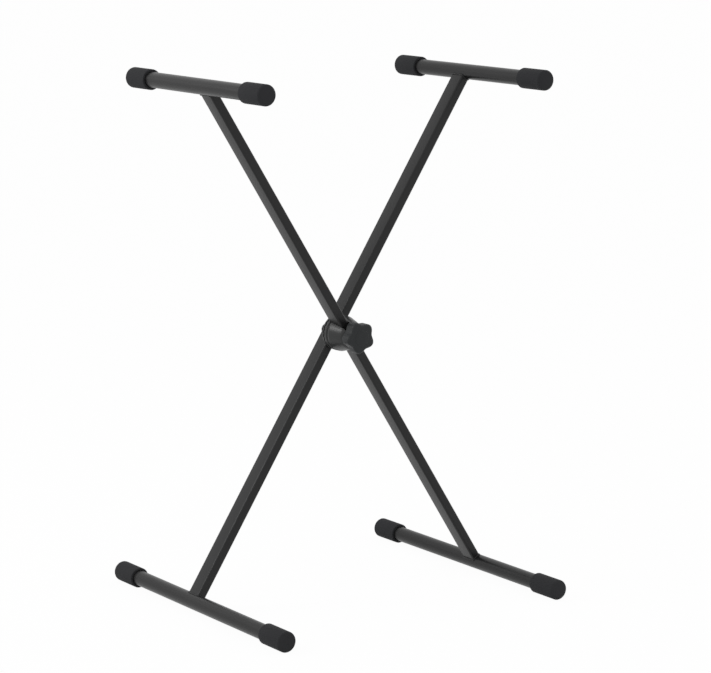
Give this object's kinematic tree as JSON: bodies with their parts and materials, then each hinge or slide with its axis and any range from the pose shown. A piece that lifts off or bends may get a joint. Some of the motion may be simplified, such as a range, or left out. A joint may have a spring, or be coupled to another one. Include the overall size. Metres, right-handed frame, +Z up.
{
  "type": "x-style keyboard stand",
  "caption": "Folding X-shaped stand of steel tube with a toothed centre clutch, a lobed clamp knob and rubber-capped crossbars that carry a keyboard.",
  "frame": {"origin": "on the floor under the middle of the stand, at the bottom centre of its box", "axes": "+Z up; +Y along the pivot bolt and the crossbars, away from the player, whose knob side is -Y; +X to the player's right"},
  "size_m": [0.5584, 0.507, 0.8526],
  "materials": {
    "powder_coat": "semi-gloss black powder coat with a fine orange peel",
    "rubber": "matt black moulded rubber",
    "nylon": "black glass-filled nylon, satin",
    "knob_plastic": "black moulded plastic with a fine spark-eroded texture",
    "zinc_steel": "bright zinc plating",
    "brass": "turned brass"
  },
  "bodies": {
    "rear_frame": {"rear_leg_tube": "powder_coat", "rear_leg_top_bar": "powder_coat", "rear_leg_top_weld": "powder_coat", "rear_leg_top_cap_near": "rubber", "rear_leg_top_cap_far": "rubber", "rear_leg_foot_bar": "powder_coat", "rear_leg_foot_weld": "powder_coat", "rear_leg_foot_cap_near": "rubber", "rear_leg_foot_cap_far": "rubber", "clutch_rear": "nylon", "pivot_bolt": "zinc_steel", "release_spring": "zinc_steel"},
    "clutch_carrier": {"thrust_washer": "zinc_steel"},
    "front_frame": {"front_leg_tube": "powder_coat", "front_leg_top_bar": "powder_coat", "front_leg_top_weld": "powder_coat", "front_leg_top_cap_near": "rubber", "front_leg_top_cap_far": "rubber", "front_leg_foot_bar": "powder_coat", "front_leg_foot_weld": "powder_coat", "front_leg_foot_cap_near": "rubber", "front_leg_foot_cap_far": "rubber", "clutch_front": "nylon"},
    "clamp_knob": {"knob": "knob_plastic", "knob_insert": "brass"}
  },
  "joints": [
    {"name": "clutch_close", "type": "slide", "parent": "rear_frame", "child": "clutch_carrier", "axis": [0, 1, 0], "range_m": [0, 0.0018]},
    {"name": "leg_fold", "type": "hinge", "parent": "clutch_carrier", "child": "front_frame", "pos_m": [0, 0, 0.42884], "axis": [0, 1, 0], "range_deg": [-30, 60]},
    {"name": "knob_turn", "type": "hinge", "parent": "clutch_carrier", "child": "clamp_knob", "pos_m": [0, 0, 0.42884], "axis": [0, 1, 0], "range_deg": [0, 518.5]}
  ],
  "couplings": [
    {"joint": "knob_turn", "follows": "clutch_close", "rad_per_m": 5026.5}
  ]
}
